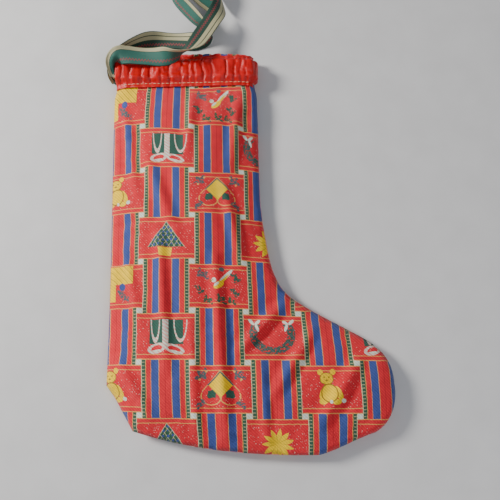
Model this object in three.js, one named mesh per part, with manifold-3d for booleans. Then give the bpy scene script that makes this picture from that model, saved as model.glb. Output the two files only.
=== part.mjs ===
// A hanging stocking, lying on its back: a printed cotton bag with a satin casing round its mouth and a
// striped ribbon threaded through the casing. Its two tails leave at the back corner and are tied in a loop.
// Millimetres. +X points to the toe, +Y up the leg to the mouth, +Z up off the surface it lies on.
import * as THREE from 'three';
import { mergeVertices } from 'three/addons/utils/BufferGeometryUtils.js';
import Module from 'manifold-3d';

const wasm = await Module();
wasm.setup();

// The bag
const thickness = 22;
const edgeRadius = 10.5;
const cloth = 1.4;
const seamAllowance = 5;
const seamGap = 0.3;
const legBack = -133;
const legFront = 15;
const mouthBack = [-131.5, 197];
const mouthFront = [13, 199];
const mouthCrest = [-40, 207.6];
const heelBack = [-132, -137];
const heelUnder = [-107, -178];
const sole = [60, -202.8];
const toeTip = [132.7, -142];
const instep = [112, -103];
const ankle = [46, -63];

// The casing, a satin tape stitched round the neck of the bag
const casingBottom = 162;
const casingTop = 195;
const casingEnd = -122;
const neckInset = 3;
const tape = 1;
const tapeHem = 2.5;
const tapeStep = 1;
const fitGap = 0.3;

// The stitching
const stitchLength = 3;
const stitchPitch = 4.4;
const threadWidth = 0.9;
const threadHeight = 1;
const stitchSink = 0.6;
const seamThreadRadius = 0.35;

// The ribbon
const ribbonWidth = 19;
const ribbonThick = 0.9;
const ribbonY = 179;
const ribbonDepth = 2;
const runFront = 4;

// Ribbon routes: [x, y, z, roll, width]. The roll is the angle in degrees of the cream edge about the
// heading: 0 with the cream edge on the left of it, 90 with it up, 180 on the right and 270 down. The width
// is the ribbon's own unless a point gives one, as where the ribbon is pinched in the casing's end.
const frontRun = [
  [runFront, ribbonY, 20, 0],
  [-60, ribbonY, 20, 0],
  [-122.6, ribbonY, 20, 0],
  [-125.8, 176.6, 20, 4, 11],
  [-128.4, 175.7, 19.7, 20, 8],
  [-130.6, 174.9, 19.3, 40, 6],
  [-131.6, 174.7, 19.1, 52, 6],
];
const frontTail = [
  [-132.6, 175.2, 19.2, 68, 6],
  [-134, 177.2, 19.6, 82, 7],
  [-134.3, 180.2, 20.6, 80, 10],
  [-133.3, 184, 23.4, 68, 14],
  [-130.4, 188.2, 28.2, 47, 17],
  [-125.2, 191, 31.2, 28],
  [-117, 191.9, 30.2, 10],
  [-107, 191.9, 28, 2],
  [-96.6, 191.6, 26.8, 3],
  [-86.8, 190.7, 27.2, 18],
  [-77.8, 189.6, 29.6, 46],
  [-69.8, 188.9, 32.2, 76],
  [-62.8, 189.8, 33.2, 100],
  [-56.8, 193.6, 31.8, 124],
  [-51.6, 199.6, 29.2, 148],
  [-46.8, 207.6, 26, 168],
  [-41.6, 217, 23.6, 178],
  [-36, 227, 22, 180],
  [-30.6, 236.8, 20.6, 182],
  [-26, 246.2, 18.4, 194],
  [-23.2, 255, 15.4, 216],
  [-21.8, 264, 12.6, 240],
  [-21.6, 273.4, 10.8, 258],
  [-23.4, 283, 10, 268],
  [-27.4, 292.4, 10, 270],
  [-33.2, 301.2, 10, 270],
  [-40.4, 308.6, 10, 270],
];
const backRun = [
  [runFront, ribbonY, 2, 0],
  [-60, ribbonY, 2, 0],
  [-122.6, ribbonY, 2, 0],
  [-125.8, 177.3, 2, 4, 12],
  [-129.2, 176, 2.6, 20, 8],
  [-131.6, 175.2, 3.8, 42, 6],
  [-132.8, 174.9, 4.4, 54, 6],
];
const backTail = [
  [-134.6, 175.6, 5, 72, 6],
  [-136.8, 178, 6.2, 84, 9],
  [-138.4, 181.6, 8.2, 86, 14],
  [-139.6, 186.6, 10, 90],
  [-139.8, 191.6, 10.1, 90],
  [-138.4, 196.8, 10.1, 90],
  [-134.4, 202.8, 10.1, 88],
  [-127.6, 208.8, 10.1, 84],
  [-118.8, 214.4, 10, 78],
  [-110, 218.8, 9.4, 68],
  [-101.2, 222.2, 8, 50],
  [-92, 224.4, 5.4, 26],
  [-82.6, 225.4, 3, 8],
  [-73, 225.4, 2, 0],
  [-63.4, 224.4, 2.6, 8],
  [-54.8, 222.2, 5.2, 30],
  [-47.4, 220.4, 8, 52],
  [-40.4, 220.8, 9.2, 66],
  [-35.2, 224.6, 9.6, 72],
  [-33.4, 230.6, 9.6, 76],
  [-36, 236.6, 9.6, 84],
  [-41.4, 241.8, 9.8, 98],
  [-47.6, 247.6, 9.8, 112],
  [-54.4, 255.6, 9.4, 117],
  [-61.6, 264.2, 9.4, 117],
  [-68.6, 272.6, 9.6, 112],
  [-74.4, 281.6, 10, 102],
  [-77.4, 291.6, 10, 94],
  [-76.4, 301.2, 10, 90],
  [-71, 308.8, 10, 90],
  [-64.6, 312.6, 10, 90],
];
const frontEnd = [
  [-50.6, 300.6, 6.6, 182],
  [-50, 293.4, 4.4, 182],
  [-46.8, 285.4, 2.6, 180],
  [-40.6, 278, 1.6, 180],
  [-34, 272, 1.4, 180],
  [-28.6, 267, 1.4, 180],
];
const backEnd = [
  [-46.6, 323, 9, 180],
  [-43.6, 330.4, 6.4, 180],
  [-39.4, 338.6, 3.6, 180],
  [-34, 346.8, 2, 180],
  [-28.2, 355.4, 1.6, 180],
];
const knotCentre = [-52, 312, 9];
const knotSize = [24, 22, 16];

const curvePoints = 6;
const roundSteps = 3;
const far = 400;

/** The bag's flat outline. It runs on above the mouth, which is cut afterwards. */
function outlineShape() {
  const above = 30;
  const shape = new THREE.Shape();
  shape.moveTo(mouthBack[0], mouthBack[1] + above);
  shape.lineTo(...mouthBack);
  shape.bezierCurveTo(legBack - 1.5, 120, legBack + 3, -20, ...heelBack);
  shape.lineTo(-124, -148);
  shape.lineTo(...heelUnder);
  shape.bezierCurveTo(-60, -194, -10, -202, ...sole);
  shape.bezierCurveTo(75, -200, 93, -190, 112, -184.5);
  shape.bezierCurveTo(127, -177, 134.5, -160, ...toeTip);
  shape.bezierCurveTo(133, -124, 125, -112, ...instep);
  shape.bezierCurveTo(92, -90, 68, -79, ...ankle);
  shape.bezierCurveTo(28, -52, 23, -30, 20, -8);
  shape.bezierCurveTo(17, 12, legFront, 26, legFront, 48);
  shape.bezierCurveTo(legFront - 0.8, 90, legFront + 1, 140, ...mouthFront);
  shape.lineTo(mouthFront[0], mouthFront[1] + above);
  return shape;
}

/** A closed geometry as a solid that can be joined and cut. */
function solid(geometry) {
  const bare = geometry.clone();
  bare.deleteAttribute('normal');
  bare.deleteAttribute('uv');
  const merged = mergeVertices(bare, 1e-4);
  const vertProperties = new Float32Array(merged.attributes.position.array);
  const triVerts = new Uint32Array(merged.index.array);
  return new wasm.Manifold(new wasm.Mesh({ numProp: 3, vertProperties, triVerts }));
}

/** The geometry of a joined or cut solid. */
function geometryOf(body) {
  const mesh = body.getMesh();
  const geometry = new THREE.BufferGeometry();
  geometry.setAttribute('position', new THREE.Float32BufferAttribute(mesh.vertProperties, 3));
  geometry.setIndex([...mesh.triVerts]);
  const flat = geometry.toNonIndexed();
  flat.computeVertexNormals();
  return flat;
}

/** The stuffed shape of the bag, shrunk all round by inset. Its sides are rounded. */
function bag(inset) {
  const radius = edgeRadius - inset;
  const geometry = new THREE.ExtrudeGeometry(outlineShape(), {
    depth: thickness - 2 * edgeRadius,
    bevelThickness: radius,
    bevelSize: radius,
    bevelOffset: -edgeRadius,
    bevelSegments: roundSteps,
    curveSegments: curvePoints,
  });
  geometry.translate(0, 0, edgeRadius);
  return solid(geometry);
}

/** The skin between two insets of the bag. */
function skin(outerInset, innerInset) {
  return bag(outerInset).subtract(bag(innerInset));
}

/** A box from its lowest and highest corners. */
function block(low, high) {
  const size = high.map((value, axis) => value - low[axis]);
  const box = new THREE.BoxGeometry(...size);
  box.translate(...low.map((value, axis) => value + size[axis] / 2));
  return solid(box);
}

/** Everything between two heights up the leg. */
function between(lowY, highY) {
  return block([-far, lowY, -far], [far, highY, far]);
}

/** Everything above the mouth's curved edge. */
function aboveMouth() {
  const reach = 60;
  const shape = new THREE.Shape();
  shape.moveTo(mouthBack[0] - reach, mouthBack[1] - reach / 4);
  shape.lineTo(...mouthBack);
  shape.quadraticCurveTo(...mouthCrest, ...mouthFront);
  shape.lineTo(mouthFront[0] + reach, mouthFront[1]);
  shape.lineTo(mouthFront[0] + reach, mouthFront[1] + 2 * reach);
  shape.lineTo(mouthBack[0] - reach, mouthBack[1] + 2 * reach);
  const geometry = new THREE.ExtrudeGeometry(shape, { depth: 2 * far, bevelEnabled: false });
  geometry.translate(0, 0, -far);
  return solid(geometry);
}

/** The whole bag as one skin: a leg and foot, a narrower neck, and the seam allowance turned inwards. */
function bagSkin() {
  const leg = bag(0).intersect(between(-far, casingBottom));
  const neck = bag(neckInset).intersect(between(casingBottom - cloth, far));
  const insideLeg = bag(cloth).intersect(between(-far, casingBottom - cloth));
  const insideNeck = bag(neckInset + cloth).intersect(between(casingBottom - 2 * cloth, far));
  const seamHalf = cloth + seamGap / 2;
  const seamLayer = block(
    [-far, -far, thickness / 2 - seamHalf],
    [far, far, thickness / 2 + seamHalf],
  );
  const narrowLeg = bag(cloth + seamAllowance).intersect(between(-far, casingBottom - cloth));
  const narrowNeck = bag(neckInset + cloth + seamAllowance).intersect(
    between(casingBottom - 2 * cloth, far),
  );
  const hollow = insideLeg.add(insideNeck).subtract(seamLayer).add(narrowLeg).add(narrowNeck);
  return leg.add(neck).subtract(hollow).subtract(aboveMouth());
}

/** The satin tape: two hems on the neck and a raised middle that leaves a tunnel for the ribbon. */
function satinTape() {
  const bottom = casingBottom + fitGap;
  const hemTop = bottom + tapeHem;
  const hemBottom = casingTop - tapeHem;
  const contact = neckInset - fitGap;
  const middle = skin(0, tape).intersect(between(hemTop, hemBottom));
  const wall = skin(0, contact);
  const lowerWall = wall.intersect(between(hemTop, hemTop + tapeStep));
  const upperWall = wall.intersect(between(hemBottom - tapeStep, hemBottom));
  const hem = skin(contact - tape - 0.4, contact);
  const lowerHem = hem.intersect(between(bottom, hemTop + tapeStep));
  const upperHem = hem.intersect(between(hemBottom - tapeStep, casingTop));
  const whole = middle.add(lowerWall).add(upperWall).add(lowerHem).add(upperHem);
  return whole.intersect(block([casingEnd, -far, -far], [far, far, far]));
}

/** A row of running stitches along X, as one thread with its raised lengths on top. */
function stitchRow() {
  const start = legBack + edgeRadius + 1;
  const end = legFront - edgeRadius - 1;
  const count = Math.floor((end - start) / stitchPitch);
  const shape = new THREE.Shape();
  shape.moveTo(start, 0);
  shape.lineTo(start + count * stitchPitch, 0);
  for (let i = count - 1; i >= 0; i -= 1) {
    const left = start + i * stitchPitch;
    shape.lineTo(left + stitchPitch, threadHeight - stitchSink);
    shape.lineTo(left + stitchLength, threadHeight - stitchSink);
    shape.lineTo(left + stitchLength - 0.3, threadHeight);
    shape.lineTo(left + 0.3, threadHeight);
  }
  shape.lineTo(start, threadHeight - stitchSink);
  const geometry = new THREE.ExtrudeGeometry(shape, { depth: threadWidth, bevelEnabled: false });
  geometry.translate(0, 0, -threadWidth / 2);
  geometry.rotateX(Math.PI / 2);
  return geometry;
}

/** The seam's thread, inside the bag on the seam allowance, from below the casing round the foot and back. */
function seamThread() {
  const inset = cloth + seamAllowance / 2;
  const height = thickness / 2 + seamGap / 2 + cloth + fitGap + seamThreadRadius;
  const edge = outlineShape().getPoints(curvePoints);
  const line = [];
  for (let i = 1; i < edge.length - 1; i += 1) {
    const along = edge[i + 1].clone().sub(edge[i - 1]).normalize();
    const point = new THREE.Vector3(edge[i].x - along.y * inset, edge[i].y + along.x * inset, height);
    const low = point.y < casingBottom - 2 * cloth;
    const last = line[line.length - 1];
    if (low && (!last || last.distanceTo(point) > 2 * inset)) line.push(point);
  }
  const section = new THREE.Shape();
  section.absarc(0, 0, seamThreadRadius, 0, 2 * Math.PI);
  return new THREE.ExtrudeGeometry(section, {
    steps: 90,
    curveSegments: 3,
    extrudePath: new THREE.CatmullRomCurve3(line),
  });
}

/** A flat ribbon along a route, as a closed strip. */
function ribbonStrip(route) {
  const stepsPerPoint = 3;
  const path = new THREE.CatmullRomCurve3(route.map(([x, y, z]) => new THREE.Vector3(x, y, z)));
  const steps = stepsPerPoint * (route.length - 1);
  const corners = [];
  for (let i = 0; i <= steps; i += 1) {
    const t = i / steps;
    const place = path.getPoint(t);
    const heading = path.getTangent(t);
    const index = Math.min(Math.floor(i / stepsPerPoint), route.length - 2);
    const part = i / stepsPerPoint - index;
    const [, , , rollHere, widthHere = ribbonWidth] = route[index];
    const [, , , rollNext, widthNext = ribbonWidth] = route[index + 1];
    const roll = THREE.MathUtils.degToRad(THREE.MathUtils.lerp(rollHere, rollNext, part));
    const width = THREE.MathUtils.lerp(widthHere, widthNext, part);
    const left = new THREE.Vector3(-heading.y, heading.x, 0).normalize();
    const up = new THREE.Vector3().crossVectors(heading, left);
    const across = left.multiplyScalar(Math.cos(roll)).addScaledVector(up, Math.sin(roll));
    const normal = new THREE.Vector3().crossVectors(heading, across);
    for (const [side, face] of [[-1, -1], [1, -1], [1, 1], [-1, 1]]) {
      const corner = place.clone().addScaledVector(across, (side * width) / 2);
      corner.addScaledVector(normal, (face * ribbonThick) / 2);
      corners.push(...corner.toArray());
    }
  }
  const faces = [[0, 2, 1], [0, 3, 2]];
  for (let i = 0; i < steps; i += 1) {
    for (let side = 0; side < 4; side += 1) {
      const a = 4 * i + side;
      const b = 4 * i + ((side + 1) % 4);
      faces.push([a, b, b + 4], [a, b + 4, a + 4]);
    }
  }
  const end = 4 * steps;
  faces.push([end, end + 1, end + 2], [end, end + 2, end + 3]);
  const geometry = new THREE.BufferGeometry();
  geometry.setAttribute('position', new THREE.Float32BufferAttribute(corners, 3));
  geometry.setIndex(faces.flat());
  const flat = geometry.toNonIndexed();
  flat.computeVertexNormals();
  return flat;
}

/** The ribbon's turn round the front of the neck, inside the casing. */
function ribbonTurn() {
  const low = [runFront + fitGap, ribbonY - ribbonWidth / 2, -far];
  const high = [far, ribbonY + ribbonWidth / 2, far];
  const half = ribbonThick / 2;
  return skin(ribbonDepth - half, ribbonDepth + half).intersect(block(low, high));
}

/** The knot that ties the two tails, as a rounded lump. */
function knotLump() {
  const geometry = new THREE.SphereGeometry(0.5, 16, 10);
  geometry.scale(...knotSize);
  geometry.translate(...knotCentre);
  return geometry;
}

const printed = new THREE.MeshStandardMaterial({ color: 0xc8353f, roughness: 0.85, metalness: 0 });
const printedBack = new THREE.MeshStandardMaterial({ color: 0xb03040, roughness: 0.85, metalness: 0 });
const satin = new THREE.MeshStandardMaterial({ color: 0xd01c18, roughness: 0.35, metalness: 0 });
const threadColour = new THREE.MeshStandardMaterial({ color: 0xf0d8c0, roughness: 0.6, metalness: 0 });
const ribbonColour = new THREE.MeshStandardMaterial({ color: 0x2f6a50, roughness: 0.5, metalness: 0 });
const creamColour = new THREE.MeshStandardMaterial({ color: 0xb8b090, roughness: 0.5, metalness: 0 });

const stocking = new THREE.Group();

function add(name, geometry, material) {
  const mesh = new THREE.Mesh(geometry, material);
  mesh.name = name;
  stocking.add(mesh);
  return mesh;
}

const whole = bagSkin();
const seamPlane = thickness / 2;
const upperHalf = block([-far, -far, seamPlane + seamGap / 2], [far, far, far]);
const lowerHalf = block([-far, -far, -far], [far, far, seamPlane - seamGap / 2]);
add('front_panel', geometryOf(whole.intersect(upperHalf)), printed);
add('back_panel', geometryOf(whole.intersect(lowerHalf)), printedBack);
add('seam_thread', seamThread(), threadColour);
add('satin_casing', geometryOf(satinTape()), satin);

const lowerRowY = casingBottom + fitGap + tapeHem / 2;
const upperRowY = casingTop - tapeHem / 2;
for (const [level, y] of [['lower', lowerRowY], ['upper', upperRowY]]) {
  const frontRow = add(`casing_stitches_front_${level}`, stitchRow(), threadColour);
  frontRow.position.set(0, y, thickness - threadHeight);
  const backRow = add(`casing_stitches_back_${level}`, stitchRow(), threadColour);
  backRow.rotation.x = Math.PI;
  backRow.position.set(0, y, threadHeight);
}

add('ribbon_front_run', ribbonStrip(frontRun), ribbonColour);
add('ribbon_back_run', ribbonStrip(backRun), ribbonColour);
add('ribbon_turn', geometryOf(ribbonTurn()), ribbonColour);
add('ribbon_front_tail', ribbonStrip(frontTail), ribbonColour);
add('ribbon_back_tail', ribbonStrip(backTail), creamColour);
add('ribbon_knot', knotLump(), ribbonColour);
add('ribbon_front_end', ribbonStrip(frontEnd), ribbonColour);
add('ribbon_back_end', ribbonStrip(backEnd), creamColour);

export default stocking;
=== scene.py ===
import math

import bpy
import mathutils
import numpy as np
from mathutils import Matrix, Vector
from mathutils.geometry import delaunay_2d_cdt


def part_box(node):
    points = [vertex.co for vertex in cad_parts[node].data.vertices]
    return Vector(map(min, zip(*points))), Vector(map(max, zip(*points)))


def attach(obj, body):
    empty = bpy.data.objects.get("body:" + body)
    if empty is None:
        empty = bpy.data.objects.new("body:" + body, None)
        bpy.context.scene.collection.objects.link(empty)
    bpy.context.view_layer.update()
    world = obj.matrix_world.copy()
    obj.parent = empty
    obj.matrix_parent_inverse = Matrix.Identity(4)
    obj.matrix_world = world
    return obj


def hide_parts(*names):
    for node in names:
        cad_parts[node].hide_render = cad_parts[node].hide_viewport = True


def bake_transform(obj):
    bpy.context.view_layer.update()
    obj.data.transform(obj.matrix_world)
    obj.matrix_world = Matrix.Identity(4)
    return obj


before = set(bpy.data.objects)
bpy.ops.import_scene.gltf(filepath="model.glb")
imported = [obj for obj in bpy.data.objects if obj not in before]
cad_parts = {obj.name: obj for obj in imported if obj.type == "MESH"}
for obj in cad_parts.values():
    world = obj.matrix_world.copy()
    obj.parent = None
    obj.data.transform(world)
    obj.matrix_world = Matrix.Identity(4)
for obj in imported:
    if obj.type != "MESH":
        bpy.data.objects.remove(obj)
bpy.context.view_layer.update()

# ---------------------------------------------------------------- sizes, in metres
SEAM_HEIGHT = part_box("front_panel")[1].z / 2
CASING_BOTTOM, CASING_TOP = (corner.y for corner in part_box("satin_casing"))
RIBBON_WIDTH = 0.019
RIBBON_THICK = 0.0005
FLOOR_GAP = 0.0002

# Print: one block of the printed cotton, where its columns and rows start, and how far they lean.
# These were fitted so that the pale squares fall where the photo shows them.
BLOCK_WIDE = 0.0492
BLOCK_TALL = 0.0465
COLUMN_START = -0.1004
ROW_START = 0.1122
COLUMN_LEAN, ROW_LEAN = 0.005, 0.032

# ---------------------------------------------------------------- camera
CAMERA_AIM = Vector((0.0034, -0.0093, 0.0))
CAMERA_DISTANCE = 0.594
CAMERA_TILT = math.radians(14.15)
CAMERA_TURN = math.radians(1.5)
SENSOR_MM, LENS_MM = 36, 43.2


def add_camera():
    """Looks down at the stocking from its foot's side, turned a little clockwise."""
    right = Vector((math.cos(CAMERA_TURN), -math.sin(CAMERA_TURN), 0))
    level = Vector((math.sin(CAMERA_TURN), math.cos(CAMERA_TURN), 0))
    lean = math.sin(CAMERA_TILT) * level
    back = Vector((-lean.x, -lean.y, math.cos(CAMERA_TILT)))
    up = back.cross(right)
    place = CAMERA_AIM + CAMERA_DISTANCE * back
    data = bpy.data.cameras.new("camera")
    data.sensor_width = SENSOR_MM
    data.lens = LENS_MM
    data.clip_start = 0.01
    camera = bpy.data.objects.new("camera", data)
    turn = Matrix((right, up, back)).transposed()
    camera.matrix_world = Matrix.Translation(place) @ turn.to_4x4()
    bpy.context.scene.collection.objects.link(camera)
    bpy.context.scene.camera = camera


add_camera()

# ---------------------------------------------------------------- ribbon routes
# Each point is x, y, z, the roll in degrees of the cream edge about the heading, and the width that
# the ribbon is gathered to there.
W = RIBBON_WIDTH
FRONT_TAIL = [
    (-0.1326, 0.1752, 0.0192, 68, 0.006),
    (-0.1340, 0.1772, 0.0196, 82, 0.007),
    (-0.1343, 0.1802, 0.0206, 80, 0.010),
    (-0.1333, 0.1840, 0.0234, 68, 0.014),
    (-0.1304, 0.1882, 0.0282, 47, 0.017),
    (-0.1252, 0.1910, 0.0312, 28, W),
    (-0.1170, 0.1919, 0.0302, 10, W),
    (-0.1070, 0.1919, 0.0280, 2, W),
    (-0.0966, 0.1916, 0.0268, 3, W),
    (-0.0868, 0.1907, 0.0272, 18, W),
    (-0.0778, 0.1896, 0.0296, 46, W),
    (-0.0698, 0.1889, 0.0322, 76, W),
    (-0.0628, 0.1898, 0.0332, 100, W),
    (-0.0568, 0.1936, 0.0318, 124, W),
    (-0.0516, 0.1996, 0.0292, 148, W),
    (-0.0468, 0.2076, 0.0260, 168, W),
    (-0.0416, 0.2170, 0.0236, 178, W),
    (-0.0360, 0.2270, 0.0220, 180, W),
    (-0.0306, 0.2368, 0.0206, 182, W),
    (-0.0260, 0.2462, 0.0184, 194, W),
    (-0.0232, 0.2550, 0.0154, 216, W),
    (-0.0218, 0.2640, 0.0126, 240, W),
    (-0.0216, 0.2734, 0.0108, 258, W),
    (-0.0234, 0.2830, 0.0100, 268, W),
    (-0.0274, 0.2924, 0.0100, 270, W),
    (-0.0332, 0.3012, 0.0100, 270, W),
    (-0.0404, 0.3086, 0.0100, 270, 0.014),
    (-0.0438, 0.3106, 0.0097, 270, 0.009),
]
BACK_TAIL = [
    (-0.1346, 0.1756, 0.0050, 72, 0.006),
    (-0.1368, 0.1780, 0.0062, 84, 0.009),
    (-0.1384, 0.1816, 0.0082, 86, 0.014),
    (-0.1396, 0.1866, 0.0100, 90, W),
    (-0.1398, 0.1916, 0.0101, 90, W),
    (-0.1384, 0.1968, 0.0101, 90, W),
    (-0.1344, 0.2028, 0.0101, 88, W),
    (-0.1276, 0.2088, 0.0101, 84, W),
    (-0.1188, 0.2144, 0.0100, 78, W),
    (-0.1100, 0.2188, 0.0094, 68, W),
    (-0.1012, 0.2222, 0.0080, 50, W),
    (-0.0920, 0.2244, 0.0054, 26, W),
    (-0.0826, 0.2254, 0.0030, 8, W),
    (-0.0730, 0.2254, 0.0020, 0, W),
    (-0.0634, 0.2244, 0.0026, 8, W),
    (-0.0548, 0.2222, 0.0052, 30, W),
    (-0.0474, 0.2204, 0.0080, 52, W),
    (-0.0404, 0.2208, 0.0092, 66, W),
    (-0.0352, 0.2246, 0.0096, 72, W),
    (-0.0334, 0.2306, 0.0096, 76, W),
    (-0.0360, 0.2366, 0.0096, 84, W),
    (-0.0414, 0.2418, 0.0098, 98, W),
    (-0.0476, 0.2476, 0.0098, 112, W),
    (-0.0544, 0.2556, 0.0094, 117, W),
    (-0.0616, 0.2642, 0.0094, 117, W),
    (-0.0686, 0.2726, 0.0096, 112, W),
    (-0.0744, 0.2816, 0.0100, 102, W),
    (-0.0774, 0.2916, 0.0100, 94, W),
    (-0.0764, 0.3012, 0.0100, 90, W),
    (-0.0710, 0.3088, 0.0100, 90, W),
    (-0.0646, 0.3126, 0.0100, 90, 0.014),
    (-0.0604, 0.3124, 0.0097, 90, 0.009),
]
FRONT_RUN = [
    (0.0040, 0.1790, 0.0200, 0, W),
    (-0.0600, 0.1790, 0.0200, 0, W),
    (-0.1226, 0.1790, 0.0200, 0, W),
    (-0.1258, 0.1766, 0.0200, 4, 0.011),
    (-0.1284, 0.1757, 0.0197, 20, 0.008),
    (-0.1306, 0.1749, 0.0193, 40, 0.006),
    (-0.1316, 0.1747, 0.0191, 52, 0.006),
    (-0.1326, 0.1752, 0.0192, 68, 0.006),
]
BACK_RUN = [
    (0.0040, 0.1790, 0.0020, 0, W),
    (-0.0600, 0.1790, 0.0020, 0, W),
    (-0.1226, 0.1790, 0.0020, 0, W),
    (-0.1258, 0.1773, 0.0020, 4, 0.012),
    (-0.1292, 0.1760, 0.0026, 20, 0.008),
    (-0.1316, 0.1752, 0.0038, 42, 0.006),
    (-0.1328, 0.1749, 0.0044, 54, 0.006),
    (-0.1346, 0.1756, 0.0050, 72, 0.006),
]
FRONT_END = [
    (-0.0510, 0.3048, 0.0080, 182, 0.009),
    (-0.0506, 0.3006, 0.0066, 182, 0.013),
    (-0.0503, 0.2972, 0.0055, 182, 0.017),
    (-0.0500, 0.2934, 0.0044, 182, W),
    (-0.0468, 0.2854, 0.0026, 180, W),
    (-0.0406, 0.2780, 0.0016, 180, W),
    (-0.0340, 0.2720, 0.0014, 180, W),
    (-0.0286, 0.2670, 0.0014, 180, W),
]
BACK_END = [
    (-0.0484, 0.3192, 0.0096, 180, 0.009),
    (-0.0466, 0.3230, 0.0090, 180, 0.013),
    (-0.0453, 0.3262, 0.0079, 180, 0.017),
    (-0.0436, 0.3304, 0.0064, 180, W),
    (-0.0394, 0.3386, 0.0036, 180, W),
    (-0.0340, 0.3468, 0.0020, 180, W),
    (-0.0282, 0.3554, 0.0016, 180, W),
]


ROUTE_STEPS = 5


def smooth_route(route):
    """Points on a centripetal Catmull-Rom curve through a route, with its roll and width."""
    rows = np.array(route, float)
    rows = np.vstack([2 * rows[0] - rows[1], rows, 2 * rows[-1] - rows[-2]])
    steps = np.sqrt(np.linalg.norm(np.diff(rows[:, :3], axis=0), axis=1))
    knots = np.concatenate([[0], np.cumsum(steps)])
    out = []
    for i in range(1, len(rows) - 2):
        last = i == len(rows) - 3
        spans = np.linspace(knots[i], knots[i + 1], ROUTE_STEPS, endpoint=False)
        for t in [*spans, knots[i + 1]] if last else spans:
            a = [blend_rows(rows, knots, i - 1 + k, i + k, t) for k in range(3)]
            b = [blend_pair(a[k], a[k + 1], knots[i - 1 + k], knots[i + 1 + k], t) for k in range(2)]
            out.append(blend_pair(b[0], b[1], knots[i], knots[i + 1], t))
    return np.array(out)


def blend_pair(p, q, start, end, t):
    return p + (q - p) * (t - start) / (end - start)


def blend_rows(rows, knots, first, second, t):
    return blend_pair(rows[first], rows[second], knots[first], knots[second], t)


def new_object(name, vertices, faces):
    mesh = bpy.data.meshes.new(name)
    mesh.from_pydata([tuple(v) for v in vertices], [], [tuple(f) for f in faces])
    mesh.update()
    mesh.polygons.foreach_set("use_smooth", [True] * len(mesh.polygons))
    piece = bpy.data.objects.new(name, mesh)
    bpy.context.scene.collection.objects.link(piece)
    return piece


def write_uv(piece, layer, values):
    """One UV layer from one value for each vertex."""
    uv = piece.data.uv_layers.new(name=layer)
    corner = np.zeros(len(piece.data.loops), np.int32)
    piece.data.loops.foreach_get("vertex_index", corner)
    uv.data.foreach_set("uv", np.asarray(values, np.float32)[corner].ravel())


def unit(vectors):
    return vectors / np.linalg.norm(vectors, axis=1)[:, None]


def run_length(points):
    """How far each point is along its line."""
    return np.concatenate([[0], np.cumsum(np.linalg.norm(np.diff(points, axis=0), axis=1))])


CUP_LENGTH = 0.017


def strip_piece(name, points, side, widths, across=14, cup=0.0005, full=W, folds=1.5):
    """A woven ribbon along a line, as a thin closed strip that crumples where it is gathered.
    side points to its cream edge. Material 0 is on the face that heading x side points out of."""
    heading = unit(np.gradient(points, axis=0))
    side = unit(side - np.sum(side * heading, axis=1)[:, None] * heading)
    face = np.cross(heading, side)
    gone = run_length(points)
    share = np.linspace(-0.5, 0.5, across + 1)
    vertices, uvs = [], []
    for layer in (0.5, -0.5):
        for i, place in enumerate(points):
            squeeze = min(widths[i] / full, 1)
            depth = full / (4 * folds) * math.sqrt(1 - squeeze**2)
            wave = depth * np.sin(2 * math.pi * folds * share + 0.6)
            bow = cup * (1 - 4 * share**2) * math.sin(gone[i] / CUP_LENGTH + 1.3)
            offset = wave + bow + layer * RIBBON_THICK
            vertices.extend(place + np.outer(share * widths[i], side[i]) + np.outer(offset, face[i]))
            uvs.extend([(gone[i], 0.5 - s) for s in share])
    count, wide = len(points), across + 1
    below = count * wide
    faces, slots = [], []
    for i in range(count - 1):
        for j in range(across):
            a = i * wide + j
            faces.append((a, a + wide, a + wide + 1, a + 1))
            faces.append((below + a, below + a + 1, below + a + wide + 1, below + a + wide))
            slots.extend((0, 1))
        for a, b in ((i * wide, below + i * wide), (below + i * wide + across, i * wide + across)):
            faces.append((a, b, b + wide, a + wide))
            slots.append(0)
    for a, flip in ((0, False), ((count - 1) * wide, True)):
        for j in range(across):
            cap = (a + j, a + j + 1, below + a + j + 1, below + a + j)
            faces.append(cap[::-1] if flip else cap)
            slots.append(0)
    vertices = np.array(vertices)
    vertices[:, 2] = np.maximum(vertices[:, 2], FLOOR_GAP)
    piece = new_object(name, vertices, faces)
    piece.data.polygons.foreach_set("material_index", slots)
    write_uv(piece, "Weave", uvs)
    return piece


def ribbon_piece(name, route, folds=1.5):
    """A stretch of the ribbon along a route, and the points that it runs through."""
    line = smooth_route(route)
    points, rolls = line[:, :3], np.radians(line[:, 3])
    heading = unit(np.gradient(points, axis=0))
    left = unit(np.stack([-heading[:, 1], heading[:, 0], np.zeros(len(points))], axis=1))
    up = np.cross(heading, left)
    side = np.cos(rolls)[:, None] * left + np.sin(rolls)[:, None] * up
    return strip_piece(name, points, side, line[:, 4], folds=folds), points


front_tail, front_line = ribbon_piece("front_ribbon_tail", FRONT_TAIL)
back_tail, back_line = ribbon_piece("back_ribbon_tail", BACK_TAIL)
front_end = ribbon_piece("front_ribbon_end", FRONT_END)[0]
back_end = ribbon_piece("back_ribbon_end", BACK_END)[0]
front_run = ribbon_piece("front_ribbon_run", FRONT_RUN, folds=3)[0]
back_run = ribbon_piece("back_ribbon_run", BACK_RUN, folds=3)[0]


def turn_piece():
    """The ribbon's turn round the neck's front edge, between the two runs."""
    middle = (FRONT_RUN[0][2] + BACK_RUN[0][2]) / 2
    radius = (FRONT_RUN[0][2] - BACK_RUN[0][2]) / 2
    angles = np.linspace(-math.pi / 2, math.pi / 2, 21)
    x = FRONT_RUN[0][0] + 0.0006 + radius * np.cos(angles)
    z = middle + radius * np.sin(angles)
    points = np.stack([x, np.full(len(x), FRONT_RUN[0][1]), z], axis=1)
    side = np.tile([0.0, -1.0, 0.0], (len(points), 1))
    return strip_piece("ribbon_turn_round_neck", points, side, np.full(len(points), W))


KNOT_HEIGHT = 2.2
KNOT_INSET = [0.0016, 0.0016, 0.0012]


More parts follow.
